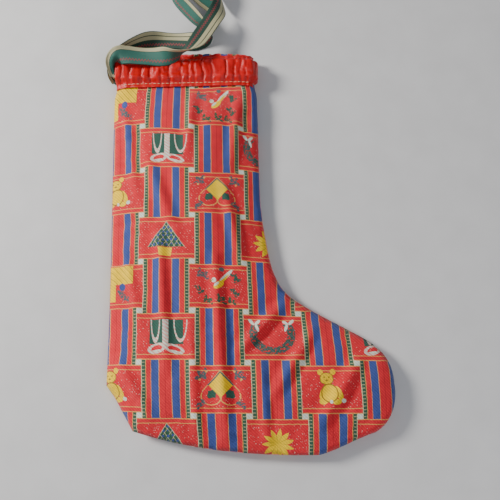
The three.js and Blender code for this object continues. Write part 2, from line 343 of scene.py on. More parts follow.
def knot_piece():
    """The overhand knot that ties the two tails: a crumpled band wound as a trefoil."""
    low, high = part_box("ribbon_knot")
    centre, half = np.array((low + high) / 2), np.array((high - low) / 2) - 0.001
    t = np.linspace(0, 2 * math.pi, 97)
    x, y = np.sin(t) + 2 * np.sin(2 * t), np.cos(t) - 2 * np.cos(2 * t)
    wound = np.stack([x, y, -KNOT_HEIGHT * np.sin(3 * t)], axis=1)
    points = wound / 3 * (half - KNOT_INSET)
    heading = np.gradient(points, axis=0)
    heading[0] = heading[-1] = points[1] - points[-2]
    outward = points * [1, 1, KNOT_HEIGHT]
    side = np.cross(unit(outward), unit(heading))
    widths = 0.0112 + 0.0013 * np.sin(5 * t)
    return strip_piece("ribbon_knot_tied", points + centre, side, widths, cup=0.001, full=0.0145)


ribbon_turn = turn_piece()
knot = knot_piece()

# ---------------------------------------------------------------- bag
SEAM_ROUND = 0.018
FRONT_FULL, BACK_FULL = 0.0076, 0.0096
NECK_INSET = 0.0018
# How much flatter the neck is under the casing, and the least height of the cloth over the floor
NECK_FLATTER = 0.0010
BAG_OVER_FLOOR, CASING_OVER_FLOOR = 0.0009, 0.0008
BAND_LOW, BAND_HIGH = 0.163, 0.195
LATTICE = 0.0034
FABRIC_THICK = 0.0006


def bezier(a, b, c, d, steps):
    t = np.linspace(0, 1, steps, endpoint=False)[:, None]
    a, b, c, d = (np.array(p, float) for p in (a, b, c, d))
    return (1 - t) ** 3 * a + 3 * (1 - t) ** 2 * t * b + 3 * (1 - t) * t**2 * c + t**3 * d


def straight(a, b, steps):
    return np.linspace(a, b, steps, endpoint=False)


MOUTH_BACK, MOUTH_CREST, MOUTH_FRONT = (-0.1315, 0.197), (-0.055, 0.2035), (0.013, 0.199)


def seam_line():
    """The seam: from the back of the mouth down the leg, round the heel and toe, up to the front."""
    heel_back, heel_corner, heel_under = (-0.132, -0.137), (-0.124, -0.148), (-0.107, -0.178)
    sole, toe_tip, instep, ankle = (0.060, -0.2028), (0.1327, -0.142), (0.112, -0.103), (0.046, -0.063)
    toe_under, shin, shin_high = (0.112, -0.1845), (0.020, -0.008), (0.015, 0.048)
    return np.vstack([
        bezier(MOUTH_BACK, (-0.1345, 0.120), (-0.130, -0.020), heel_back, 100),
        straight(heel_back, heel_corner, 4),
        straight(heel_corner, heel_under, 10),
        bezier(heel_under, (-0.060, -0.194), (-0.010, -0.202), sole, 50),
        bezier(sole, (0.075, -0.200), (0.093, -0.190), toe_under, 16),
        bezier(toe_under, (0.127, -0.177), (0.1345, -0.160), toe_tip, 15),
        bezier(toe_tip, (0.133, -0.124), (0.125, -0.112), instep, 14),
        bezier(instep, (0.092, -0.090), (0.068, -0.079), ankle, 23),
        bezier(ankle, (0.028, -0.052), (0.023, -0.030), shin, 19),
        bezier(shin, (0.017, 0.012), (0.015, 0.026), shin_high, 17),
        bezier(shin_high, (0.0142, 0.090), (0.016, 0.140), MOUTH_FRONT, 44),
        [MOUTH_FRONT],
    ])


def ease(value, start, end):
    t = np.clip((value - start) / (end - start), 0, 1)
    return t * t * (3 - 2 * t)


def in_band(y):
    """1 under the casing, where the neck is drawn in, and 0 away from it."""
    return ease(y, BAND_LOW - 0.012, BAND_LOW) * (1 - ease(y, BAND_HIGH - 0.001, BAND_HIGH + 0.004))


def narrowed(flat):
    """Moves flat points in where the casing's ribbon holds the neck."""
    centre = (MOUTH_BACK[0] + MOUTH_FRONT[0]) / 2
    half = (MOUTH_FRONT[0] - MOUTH_BACK[0]) / 2
    x = flat[:, 0] - (flat[:, 0] - centre) / half * NECK_INSET * in_band(flat[:, 1])
    return np.stack([x, flat[:, 1]], axis=1)


def distance_to_line(points, line):
    """How far each flat point is from an open line."""
    best = np.full(len(points), 1.0)
    for a, b in zip(line[:-1], line[1:]):
        along = b - a
        t = np.clip((points - a) @ along / (along @ along), 0, 1)
        best = np.minimum(best, np.linalg.norm(points - a - t[:, None] * along, axis=1))
    return best


# Where the gathers of the neck are pinched, from its left end to its right end
FRONT_PLEATS = [-0.138, -0.1245, -0.115, -0.103, -0.0945, -0.084, -0.075, -0.063, -0.055, -0.0485,
                -0.040, -0.031, -0.018, -0.0085, -0.001, 0.006, 0.018]
BACK_PLEATS = [-0.140, -0.127, -0.118, -0.106, -0.099, -0.087, -0.073, -0.065, -0.052, -0.044,
               -0.033, -0.022, -0.012, -0.003, 0.007, 0.019]


def pleat(x, pleats):
    """The gathers' height over x: 0 in each pinch, and higher in a wide puff than in a narrow one."""
    marks = np.array(pleats)
    span = np.clip(np.searchsorted(marks, x) - 1, 0, len(marks) - 2)
    width = marks[span + 1] - marks[span]
    t = np.clip((x - marks[span]) / width, 0, 1)
    return np.sqrt(width / 0.012) * np.sqrt(np.clip(4 * t * (1 - t), 0, 1)) ** 1.3


def ripple(x, y, seed, size):
    """Smooth noise from -1 to 1 over the flat cloth."""
    values = [mathutils.noise.noise(Vector((a / size, b / size, seed))) for a, b in zip(x, y)]
    return np.array(values) * 1.6


SCALLOP = 0.0026


def mouth_share(x):
    return (x - MOUTH_BACK[0]) / (MOUTH_FRONT[0] - MOUTH_BACK[0])


def mouth_curve(t):
    """The y of the mouth's cut edge, from its back corner at 0 to its front corner at 1."""
    return (1 - t) ** 2 * MOUTH_BACK[1] + 2 * t * (1 - t) * MOUTH_CREST[1] + t**2 * MOUTH_FRONT[1]


def mouth_height(x, pleats):
    """The y of the mouth's raw edge, scalloped by the gathers."""
    t = mouth_share(x)
    return mouth_curve(t) - SCALLOP + SCALLOP * pleat(x, pleats) * np.clip(4 * t * (1 - t), 0, 1) ** 0.25


# Soft creases of the empty leg and foot, placed on the front panel: two ends, height and half
# width, which the two factors scale
CREASE_RISE, CREASE_HALF = 1.2, 0.85
CREASES = [
    ((-0.083, 0.010), (-0.074, -0.125), 0.0034, 0.006),
    ((-0.030, -0.020), (-0.022, -0.190), 0.0038, 0.006),
    ((-0.098, 0.085), (-0.066, 0.000), 0.0030, 0.007),
    ((-0.020, 0.050), (-0.004, -0.030), 0.0030, 0.006),
    ((0.036, -0.064), (-0.012, -0.112), 0.0034, 0.006),
    ((0.062, -0.088), (0.020, -0.150), 0.0032, 0.006),
    ((0.102, -0.116), (0.060, -0.178), 0.0032, 0.007),
    ((-0.122, -0.112), (-0.088, -0.166), 0.0026, 0.006),
    ((-0.050, 0.158), (-0.056, 0.085), 0.0024, 0.006),
    ((-0.004, 0.150), (-0.012, 0.070), 0.0024, 0.006),
    ((-0.122, 0.140), (-0.108, 0.050), 0.0022, 0.006),
    ((-0.118, -0.010), (-0.100, -0.085), 0.0024, 0.006),
    ((-0.052, -0.080), (-0.048, -0.196), 0.0024, 0.005),
    ((0.010, -0.120), (0.014, -0.196), 0.0024, 0.005),
]


def creased(flat):
    """How far the creases lift the flat cloth, with a shallow dip along each side of a crease."""
    height = np.zeros(len(flat))
    for a, b, rise, half in CREASES:
        line = np.array([a, b])
        middle = (line[0] + line[1]) / 2
        reach = np.linalg.norm(line[1] - line[0]) / 2
        fade = np.clip(1 - (np.linalg.norm(flat - middle, axis=1) / (1.25 * reach)) ** 2, 0, 1)
        off = distance_to_line(flat, line) / (CREASE_HALF * half)
        height += CREASE_RISE * rise * fade * (np.exp(-off**2) - 0.6 * np.exp(-((off - 1.7) ** 2)))
    return height


def cut_mesh():
    """The panel's flat cut as a triangle lattice: points, triangles, and which points are on the seam."""
    seam = seam_line()
    seam_count = len(seam)
    xs = np.linspace(MOUTH_FRONT[0], MOUTH_BACK[0], 44)[1:-1]
    rim = np.vstack([seam, np.stack([xs, mouth_curve(mouth_share(xs))], axis=1)])
    low, high = rim.min(axis=0), rim.max(axis=0)
    lattice = []
    row_step = LATTICE * math.sqrt(3) / 2
    for k in range(int((high[1] - low[1]) / row_step)):
        shift = LATTICE / 2 * (k % 2)
        for i in range(int((high[0] - low[0]) / LATTICE)):
            lattice.append((low[0] + shift + i * LATTICE, low[1] + k * row_step))
    lattice = np.array(lattice)
    closed = np.vstack([rim, rim[:1]])
    inside = np.zeros(len(lattice), bool)
    for (ax, ay), (bx, by) in zip(closed[:-1], closed[1:]):
        spans = (ay > lattice[:, 1]) != (by > lattice[:, 1])
        height = by - ay if by != ay else 1.0
        inside ^= spans & (lattice[:, 0] < (bx - ax) * (lattice[:, 1] - ay) / height + ax)
    lattice = lattice[inside & (distance_to_line(lattice, closed) > 0.6 * LATTICE)]
    points = np.vstack([rim, lattice])
    edges = [(i, (i + 1) % len(rim)) for i in range(len(rim))]
    found = delaunay_2d_cdt([Vector(p) for p in points], edges, [], 1, 1e-7)
    order = [sources[0] for sources in found[3]]
    triangles = np.array([[order[v] for v in face] for face in found[2]])
    a, b, c = (points[triangles[:, k]] for k in range(3))
    backward = (b - a)[:, 0] * (c - a)[:, 1] - (b - a)[:, 1] * (c - a)[:, 0] < 0
    triangles[backward] = triangles[backward][:, ::-1]
    return points, triangles, seam_count


cut, cut_faces, seam_count = cut_mesh()
seam = cut[:seam_count]
seam_distance = distance_to_line(cut, seam)


GATHER_DEPTH, RIPPLE_DEPTH, RIPPLE_SIZE = 0.0007, 0.0008, 0.034
MOUTH_FLAP = 0.0085


def bag_start(side):
    """One panel as it lies before it settles: a pillow on its seam, gathered at the neck."""
    front = side > 0
    flat = narrowed(cut)
    band = in_band(cut[:, 1])
    lift = np.clip(seam_distance / SEAM_ROUND, 0, 1)
    round_off = np.sqrt(1 - (1 - lift) ** 2)
    full = (FRONT_FULL if front else BACK_FULL) - NECK_FLATTER * band
    pleats = FRONT_PLEATS if front else BACK_PLEATS
    soft = ease(cut[:, 1], 0.128, BAND_LOW)
    height = full * round_off
    height += soft * GATHER_DEPTH * (pleat(cut[:, 0], pleats) - 1) * lift
    uneven = ripple(cut[:, 0], cut[:, 1], 3.1 if front else 7.7, RIPPLE_SIZE)
    height += (1 - soft) * lift * RIPPLE_DEPTH * uneven
    above = cut[:, 1] > BAND_HIGH
    scallop = mouth_height(cut[:, 0], pleats)
    stretched = BAND_HIGH + (cut[:, 1] - BAND_HIGH) * (scallop - BAND_HIGH) / MOUTH_FLAP
    y = np.where(above, stretched, flat[:, 1])
    y = np.where(above, np.minimum(y, scallop), y)
    return np.stack([flat[:, 0], y, SEAM_HEIGHT + side * height], axis=1)


def settle(piece, pins, frames, pressure, spare):
    """Lets a mesh settle as cloth between its pins, under a little pressure, and gives its vertices."""
    group = piece.vertex_groups.new(name="held")
    for index, weight in enumerate(pins):
        if weight > 0:
            group.add([index], float(weight), "REPLACE")
    cloth = piece.modifiers.new("cloth", "CLOTH")
    settings = cloth.settings
    settings.quality = 6
    settings.mass = 0.002
    settings.tension_stiffness = settings.compression_stiffness = 6
    settings.shear_stiffness = 3
    settings.bending_stiffness = 0.02
    settings.tension_damping = settings.compression_damping = 3
    settings.air_damping = 3
    settings.vertex_group_mass = "held"
    settings.pin_stiffness = 1
    settings.use_pressure = True
    settings.uniform_pressure_force = pressure
    settings.shrink_min = -spare
    settings.effector_weights.gravity = 0.05
    cloth.collision_settings.use_collision = False
    cloth.point_cache.frame_start, cloth.point_cache.frame_end = 1, frames
    scene = bpy.context.scene
    scene.frame_start, scene.frame_end = 1, frames
    for frame_number in range(1, frames + 1):
        scene.frame_set(frame_number)
    evaluated = piece.evaluated_get(bpy.context.evaluated_depsgraph_get())
    out = np.zeros(len(evaluated.data.vertices) * 3)
    evaluated.data.vertices.foreach_get("co", out)
    piece.modifiers.remove(cloth)
    piece.vertex_groups.clear()
    scene.frame_set(1)
    return out.reshape(-1, 3)


def settled(name, start, faces, pins, frames, pressure, spare):
    whole = new_object(name, start, faces)
    moved = settle(whole, pins, frames, pressure, spare)
    mesh = whole.data
    bpy.data.objects.remove(whole)
    bpy.data.meshes.remove(mesh)
    return moved


def settled_bag():
    """Both panels after they have settled together, joined along the seam."""
    count = len(cut)
    front, back = bag_start(1), bag_start(-1)
    back_index = np.arange(count) + count - seam_count
    back_index[:seam_count] = np.arange(seam_count)
    start = np.vstack([front, back[seam_count:]])
    start[:seam_count, 2] = SEAM_HEIGHT
    faces = np.vstack([cut_faces, back_index[cut_faces][:, ::-1]])
    flat = np.vstack([cut, cut[seam_count:]])
    pins = ease(flat[:, 1], 0.150, BAND_LOW)
    pins[:seam_count] = np.maximum(pins[:seam_count], 0.6)
    moved = settled("bag_whole", start, faces, pins, 20, 5, 0.008)
    loose = np.clip(seam_distance / 0.012, 0, 1) * (1 - ease(cut[:, 1], 0.140, BAND_LOW))
    moved[:count, 2] += loose * creased(cut)
    moved[:, 2] = np.clip(moved[:, 2], BAG_OVER_FLOOR, None)
    return moved[:count], moved[back_index]


def rim_loop(faces):
    """The edges that only one face has, each as that face turns."""
    edges = {}
    for face in faces:
        for a, b in zip(face, np.roll(face, -1)):
            edges[(a, b)] = True
    return [(a, b) for a, b in edges if (b, a) not in edges]


def thick_sheet(name, vertices, faces, thickness, coordinates):
    """A closed sheet of cloth: the outer face is material 0, the inner face and rim material 1."""
    corners = vertices[faces[:, :3]]
    normal = np.cross(corners[:, 1] - corners[:, 0], corners[:, 2] - corners[:, 0])
    push = np.zeros_like(vertices)
    for k in range(faces.shape[1]):
        np.add.at(push, faces[:, k], normal)
    inner = vertices - thickness * unit(push)
    count = len(vertices)
    rim = rim_loop(faces)
    sides = [(b, a, a + count, b + count) for a, b in rim]
    everything = [*faces.tolist(), *(faces[:, ::-1] + count).tolist(), *sides]
    piece = new_object(name, np.vstack([vertices, inner]), everything)
    slots = [0] * len(faces) + [1] * (len(faces) + len(sides))
    piece.data.polygons.foreach_set("material_index", slots)
    write_uv(piece, "Cut", np.vstack([coordinates, coordinates]))
    return piece


front_shape, back_shape = settled_bag()
# Two smooth shifts bring the printed rows to where the photo shows them: the print sits a little lower
# in the middle of the leg, and a little higher under the casing
LEG_SHIFT, LEG_MIDDLE, LEG_HALF = 0.0030, -0.050, 0.034
NECK_SHIFT = 0.0045
lower = LEG_SHIFT * np.exp(-((cut[:, 0] - LEG_MIDDLE) / LEG_HALF) ** 2) * ease(cut[:, 1], -0.070, 0.090)
higher = NECK_SHIFT * ease(cut[:, 1], 0.118, 0.160)
printed = np.stack([cut[:, 0], cut[:, 1] + lower - higher], axis=1)
front_panel = thick_sheet("front_panel_cotton", front_shape, cut_faces, FABRIC_THICK, printed)
back_panel = thick_sheet("back_panel_cotton", back_shape, cut_faces[:, ::-1], FABRIC_THICK, printed)

# ---------------------------------------------------------------- satin casing
TUNNEL_TOP, TUNNEL_FLOOR = 0.0213, 0.0008
CASING_LEFT, CASING_BEND = -0.1305, 0.0045
BEND_RADIUS = (TUNNEL_TOP - TUNNEL_FLOOR) / 2
BEND_LENGTH = math.pi * BEND_RADIUS
ROW_LOW, ROW_HIGH = 0.1650, 0.1920
CASING_ROWS = [
    CASING_BOTTOM - 0.0014, CASING_BOTTOM, 0.1632, 0.1641, ROW_LOW,
    *np.linspace(0.1658, 0.1912, 22),
    ROW_HIGH, 0.1929, 0.1938, 0.1947, CASING_TOP + 0.0006,
]
CASING_STEP = 0.0011
BACK_START = CASING_BEND + BEND_LENGTH
LOOP_PLEATS = [*FRONT_PLEATS[:-2], 0.0045, 0.0125, 0.0215, 0.0300,
               *[BACK_START + CASING_BEND - x for x in reversed(BACK_PLEATS) if x < 0]]


# How the casing lies over the bag, and how deep its puffs and its raw edges are
CONTACT_GAP, CONTACT_REACH = 0.0007, 0.0058
PUFF_EVERYWHERE, PUFF_MIDDLE = 0.0008, 0.0012
PUFF_WANDER, EDGE_LIFT, EDGE_SCALLOP = 0.0034, 0.0005, 0.0007


def casing_point(s, y):
    """The casing's place at a distance s round the mouth and a height y."""
    if s < CASING_BEND:
        x, outward, side = s, Vector((0, 0, 1)), 1.0
        x_contact = x
    elif s < BACK_START:
        angle = math.pi / 2 - (s - CASING_BEND) / BEND_RADIUS
        x = CASING_BEND + BEND_RADIUS * math.cos(angle)
        x_contact = CASING_BEND + CONTACT_REACH * math.cos(angle)
        outward, side = Vector((math.cos(angle), 0, math.sin(angle))), math.sin(angle)
    else:
        x = x_contact = CASING_BEND - (s - BACK_START)
        outward, side = Vector((0, 0, -1)), -1.0
    left_seam, right_seam = MOUTH_BACK[0] + NECK_INSET, MOUTH_FRONT[0] - NECK_INSET
    near = min(max(min(x_contact - left_seam, right_seam - min(x_contact, CASING_BEND)), 0), SEAM_ROUND)
    full = (FRONT_FULL * (1 + side) + BACK_FULL * (1 - side)) / 2 - NECK_FLATTER
    neck = full * math.sqrt(1 - (1 - near / SEAM_ROUND) ** 2)
    contact = Vector((x_contact, y, SEAM_HEIGHT + side * (neck + CONTACT_GAP)))
    raised = Vector((x, y, SEAM_HEIGHT + side * BEND_RADIUS))
    share = float(ease(y, ROW_LOW, ROW_LOW + 0.0066) * (1 - ease(y, ROW_HIGH - 0.0040, ROW_HIGH)))
    wander = PUFF_WANDER * mathutils.noise.noise(Vector((s / 0.022, y / 0.016, 4.2)))
    puff = float(pleat(np.array([s + wander * share]), LOOP_PLEATS)[0])
    uneven = 1 + 0.9 * mathutils.noise.noise(Vector((s / 0.011, y / 0.019, 9.7)))
    bulge = (PUFF_EVERYWHERE + PUFF_MIDDLE * share * uneven) * puff
    low_edge, high_edge = 1 - ease(y, CASING_BOTTOM, ROW_LOW), ease(y, ROW_HIGH, CASING_TOP)
    flap = EDGE_LIFT * float(low_edge + high_edge)
    place = contact.lerp(raised, share) + (bulge + flap) * outward
    place.y += EDGE_SCALLOP * (puff - 1) * float(high_edge - 0.4 * low_edge)
    place.z = max(place.z, CASING_OVER_FLOOR)
    return place


def settled_casing():
    """The casing after it has settled: its points, faces, flat places and the points in one row."""
    total = BACK_START + CASING_BEND - CASING_LEFT
    stations = np.linspace(CASING_LEFT, total, int((total - CASING_LEFT) / CASING_STEP))
    wide, tall = len(stations), len(CASING_ROWS)
    start = np.array([casing_point(s, y) for y in CASING_ROWS for s in stations])
    coordinates = np.array([(s, y) for y in CASING_ROWS for s in stations])
    faces = np.array([
        (r * wide + c, r * wide + c + 1, (r + 1) * wide + c + 1, (r + 1) * wide + c)
        for r in range(tall - 1) for c in range(wide - 1)
    ])
    y = coordinates[:, 1]
    pins = np.where((y <= ROW_LOW + 0.0001) | (y >= ROW_HIGH - 0.0001), 1.0, 0.08)
    ends = (coordinates[:, 0] < CASING_LEFT + 0.002) | (coordinates[:, 0] > total - 0.002)
    pins[ends] = 1.0
    moved = settled("casing_whole", start, faces, pins, 14, 12, 0.05)
    moved[:, 2] = np.clip(moved[:, 2], CASING_OVER_FLOOR, None)
    return moved, faces, coordinates, wide


casing_shape, casing_faces, casing_flat, casing_wide = settled_casing()
casing = thick_sheet("satin_casing_band", casing_shape, casing_faces, 0.0004, casing_flat)


# ---------------------------------------------------------------- stitches
def stitch_piece(name, line, out, length, pitch, radius, rise):
    """Running stitches along a line, each an arched thread that dips into the cloth at both ends."""
    gone = run_length(line)
    sides, rings = 6, 6
    vertices, faces = [], []
    generator = np.random.default_rng(len(name) * 7)
    start = 0.5 * pitch
    while start + length < gone[-1]:
        reach = length * generator.uniform(0.85, 1.08)
        slip = generator.uniform(-0.00015, 0.00015)
        at = np.linspace(start, start + reach, rings)
        centre = np.stack([np.interp(at, gone, line[:, k]) for k in range(3)], axis=1)
        normal = unit(np.stack([np.interp(at, gone, out[:, k]) for k in range(3)], axis=1))
        arch = np.sin(np.linspace(0.12, 0.88, rings) * math.pi)
        centre = centre + normal * (rise * arch - 0.4 * radius)[:, None]
        along = unit(np.gradient(centre, axis=0))
        across = np.cross(normal, along)
        centre = centre + across * slip
        base = len(vertices)
        for i in range(rings):
            thick = radius * (0.55 + 0.45 * arch[i])
            for j in range(sides):
                angle = 2 * math.pi * j / sides
                around = math.cos(angle) * across[i] + math.sin(angle) * normal[i]
                vertices.append(centre[i] + thick * around)
        for i in range(rings - 1):
            for j in range(sides):
                a, b = base + i * sides + j, base + i * sides + (j + 1) % sides
                faces.append((a, b, b + sides, a + sides))
        faces.append(tuple(base + j for j in reversed(range(sides))))
        faces.append(tuple(base + (rings - 1) * sides + j for j in range(sides)))
        start += pitch
    return new_object(name, vertices, faces)


def casing_row(y):
    """The casing's front and back lines at one height, with the way each faces."""
    row = CASING_ROWS.index(y)
    line = casing_shape[row * casing_wide:(row + 1) * casing_wide]
    s = casing_flat[row * casing_wide:(row + 1) * casing_wide, 0]
    front = line[(s > -0.1245) & (s < CASING_BEND + 0.006)]
    back = line[(s > BACK_START - 0.006) & (s < BACK_START + CASING_BEND + 0.1245)]
    up = np.tile([0.0, 0.0, 1.0], (len(front), 1))
    down = np.tile([0.0, 0.0, -1.0], (len(back), 1))
    return (front, up), (back, down)


STITCH = {"length": 0.0031, "pitch": 0.0044, "radius": 0.00036, "rise": 0.0005}
SEAM_STITCH = {"length": 0.0024, "pitch": 0.0031, "radius": 0.00032, "rise": 0.0003}
SEAM_INSET = 0.0039
STITCH_ROWS = {"lower": casing_row(ROW_LOW), "upper": casing_row(ROW_HIGH)}
stitches = {}
for index, side in enumerate(("front", "back")):
    for height, lines in STITCH_ROWS.items():
        name = f"stitches_{side}_{height}"
        stitches[name] = stitch_piece(name, *lines[index], **STITCH)


def seam_thread_piece():
    """The thread of the bag's own seam, inside it, on the seam allowance."""
    line = seam[seam[:, 1] < CASING_BOTTOM - 0.003][::3]
    along = unit(np.gradient(line, axis=0))
    inner = line + SEAM_INSET * np.stack([-along[:, 1], along[:, 0]], axis=1)
    path = np.column_stack([inner, np.full(len(inner), SEAM_HEIGHT + 0.0006)])
    up = np.tile([0.0, 0.0, 1.0], (len(path), 1))
    return stitch_piece("seam_thread_stitches", path, up, **SEAM_STITCH)


seam_thread = seam_thread_piece()

# ---------------------------------------------------------------- materials
CREAM, GOLD, YELLOW = (0.72, 0.62, 0.36), (0.80, 0.40, 0.10), (0.94, 0.60, 0.003)
RED, DEEP_RED, BLUE = (0.70, 0.022, 0.032), (0.50, 0.014, 0.024), (0.050, 0.082, 0.28)
GREEN, LEAF, SLATE = (0.034, 0.100, 0.058), (0.030, 0.098, 0.068), (0.085, 0.115, 0.120)
BONE, PINK, BROWN = (0.70, 0.74, 0.62), (0.80, 0.42, 0.34), (0.30, 0.17, 0.02)
TILE, FACET = (0.30, 0.16, 0.02), (0.42, 0.26, 0.02)


class Nodes:
    """Builds one material's nodes in order, with short calls for its arithmetic."""

    def __init__(self, name, **shader):
        self.material = bpy.data.materials.new(name)
        self.material.use_nodes = True
        self.tree = self.material.node_tree
        self.shader = self.tree.nodes["Principled BSDF"]
        for socket, value in shader.items():
            self.shader.inputs[socket.replace("_", " ")].default_value = value

    def add(self, kind, inputs, **settings):
        node = self.tree.nodes.new(kind)
        for key, value in settings.items():
            setattr(node, key, value)
        for socket, value in inputs.items():
            if isinstance(value, bpy.types.NodeSocket):
                self.tree.links.new(value, node.inputs[socket])
            else:
                node.inputs[socket].default_value = value
        return node

    def math(self, operation, *values):
        return self.add("ShaderNodeMath", dict(enumerate(values)), operation=operation).outputs[0]

    def either(self, *masks):
        total = masks[0]
        for mask in masks[1:]:
            total = self.math("MAXIMUM", total, mask)
        return total

    def both(self, *masks):
        total = masks[0]
        for mask in masks[1:]:
            total = self.math("MULTIPLY", total, mask)
        return total

    def paint(self, under, colour, mask):
        inputs = {0: mask, 6: under, 7: colour if isinstance(colour, bpy.types.NodeSocket) else (*colour, 1)}
        return self.add("ShaderNodeMix", inputs, data_type="RGBA").outputs[2]

    def put(self, under, colour, on, *masks):
        """Paints one block's picture wherever any of the masks is."""
        return self.paint(under, colour, self.both(on, self.either(*masks)))

    def shaded(self, colour, tone):
        """A colour made darker or lighter by a tone."""
        grey = self.add("ShaderNodeCombineXYZ", {0: tone, 1: tone, 2: tone}).outputs[0]
        inputs = {0: 1.0, 6: colour, 7: grey}
        return self.add("ShaderNodeMix", inputs, data_type="RGBA", blend_type="MULTIPLY").outputs[2]

    def wave(self, value, pitch):
        return self.math("SINE", self.math("MULTIPLY", value, 2 * math.pi / pitch))

    def stripes(self, value, pitch, half):
        """1 in thin stripes, one in the middle of every pitch."""
        return self.math("COMPARE", self.math("FLOORED_MODULO", value, pitch), pitch / 2, half)

    def split(self, vector):
        node = self.add("ShaderNodeSeparateXYZ", {0: vector})
        return node.outputs[0], node.outputs[1]

    def noise(self, vector, scale, detail=2.0):
        node = self.add("ShaderNodeTexNoise", {"Vector": vector, "Scale": scale, "Detail": detail})
        return node.outputs["Fac"]

    def ramp(self, value, stops, constant=False):
        node = self.add("ShaderNodeValToRGB", {0: value})
        ramp = node.color_ramp
        ramp.interpolation = "CONSTANT" if constant else "LINEAR"
        while len(ramp.elements) < len(stops):
            ramp.elements.new(0.5)
        for element, (place, colour) in zip(ramp.elements, stops):
            element.position = place
            element.color = (*colour, 1)
        return node.outputs[0]

    def bump(self, height, strength, distance):
        node = self.add("ShaderNodeBump", {"Height": height, "Strength": strength, "Distance": distance})
        self.tree.links.new(node.outputs[0], self.shader.inputs["Normal"])

    def finish(self, colour, roughness=None):
        self.tree.links.new(colour, self.shader.inputs["Base Color"])
        if roughness is not None:
            self.tree.links.new(roughness, self.shader.inputs["Roughness"])
        return self.material

    # Shapes of the print, in millimetres about its block's middle: how far out of an ellipse a place is,
    # with 1 on its edge, and masks that are 1 inside a shape
    def ellipse(self, place, x, y, rx, ry, turn=0.0):
        if turn == 0:
            inputs = {0: place, 1: (1 / rx, 1 / ry, 0), 2: (-x / rx, -y / ry, 0)}
            scaled = self.add("ShaderNodeVectorMath", inputs, operation="MULTIPLY_ADD").outputs[0]
            return self.add("ShaderNodeVectorMath", {0: scaled}, operation="LENGTH").outputs["Value"]
        c, s = math.cos(math.radians(turn)), math.sin(math.radians(turn))
        squares = 0.0
        for a, b in ((c / rx, s / rx), (-s / ry, c / ry)):
            dot = self.add("ShaderNodeVectorMath", {0: place, 1: (a, b, 0)}, operation="DOT_PRODUCT")
            off = self.math("SUBTRACT", dot.outputs["Value"], a * x + b * y)
            squares = self.math("MULTIPLY_ADD", off, off, squares)
        return self.math("SQRT", squares)

    def disc(self, place, x, y, rx, ry, turn=0.0):
        return self.math("LESS_THAN", self.ellipse(place, x, y, rx, ry, turn), 1.0)

    def hoop(self, place, x, y, rx, ry, band, turn=0.0):
        return self.math("COMPARE", self.ellipse(place, x, y, rx, ry, turn), 1.0, band)

    def discs(self, place, *rows):
        return [self.disc(place, *row) for row in rows]

    def hoops(self, place, *rows):
        return [self.hoop(place, *row) for row in rows]

    def slab(self, mx, my, x, y, half_x, half_y):
        wide = self.math("COMPARE", mx, x, half_x)
        return self.math("MULTIPLY", wide, self.math("COMPARE", my, y, half_y))


RIB_PITCH, THREAD_PITCH = 0.0029, 0.0006


def clothed(n, uv, colour):
    """Adds the twill's diagonal ribs, fading and small stains to a cotton colour."""
    x, y = n.split(uv)
    ribs = n.wave(n.math("ADD", x, y), RIB_PITCH)
    threads = n.wave(n.math("SUBTRACT", x, y), THREAD_PITCH)
    rough = n.noise(uv, 900, 3)
    height = n.math("ADD", ribs, n.math("MULTIPLY", n.math("ADD", threads, rough), 0.4))
    slub = n.noise(uv, 160, 3)
    patch = n.noise(uv, 22, 3)
    tone = n.math("MULTIPLY_ADD", ribs, 0.12, 0.74)
    tone = n.math("MULTIPLY_ADD", slub, 0.42, tone)
    tone = n.math("MULTIPLY_ADD", patch, 0.18, n.math("SUBTRACT", tone, 0.05))
    colour = n.shaded(colour, tone)
    n.bump(height, 0.5, 0.0003)
    roughness = n.math("MULTIPLY_ADD", slub, 0.12, 0.72)
    return colour, roughness


# Where each colour of a stripe block starts, as a share of its width
STRIPES = [
    (0.0, CREAM), (0.012, GREEN), (0.092, GOLD), (0.104, RED), (0.200, GOLD), (0.210, BLUE), (0.365, GOLD),
    (0.376, RED), (0.492, DEEP_RED), (0.506, RED), (0.624, GOLD), (0.635, BLUE), (0.790, GOLD),
    (0.800, RED), (0.896, GOLD), (0.908, GREEN), (0.988, CREAM),
]


def turned(n, x, y):
    """The print lies a little askew on the cut."""
    across = n.math("MULTIPLY_ADD", y, COLUMN_LEAN, x)
    return across, n.math("MULTIPLY_ADD", x, ROW_LEAN, y)


EDGE_START = 0.45


def block_masks(n, x, y):
    """Places across and down a block, masks of the picture bands, the pale squares of the weave and the
    blocks that show a picture, and the number that says which picture."""
    column = n.math("DIVIDE", n.math("SUBTRACT", x, COLUMN_START), BLOCK_WIDE)
    row = n.math("DIVIDE", n.math("SUBTRACT", ROW_START, y), BLOCK_TALL)
    i, j = n.math("FLOOR", column), n.math("FLOOR", row)
    u = n.math("SUBTRACT", n.math("SUBTRACT", column, i), 0.5)
    v = n.math("SUBTRACT", n.math("SUBTRACT", row, j), 0.5)
    edge_u = n.math("GREATER_THAN", n.math("ABSOLUTE", u), EDGE_START)
    edge_v = n.math("GREATER_THAN", n.math("ABSOLUTE", v), EDGE_START)
    odd = n.math("FLOORED_MODULO", n.math("ADD", i, j), 2.0)
    shown = n.math("SUBTRACT", 1.0, odd)
    picture = n.both(n.math("SUBTRACT", 1.0, edge_v), n.either(shown, edge_u))
    corner = n.both(edge_u, edge_v)
    down = n.math("FLOORED_MODULO", j, 4.0)
    kind = n.math("MULTIPLY_ADD", down, 4.0, n.math("FLOORED_MODULO", i, 4.0))
    return u, v, picture, corner, n.both(shown, n.math("SUBTRACT", 1.0, edge_v)), kind


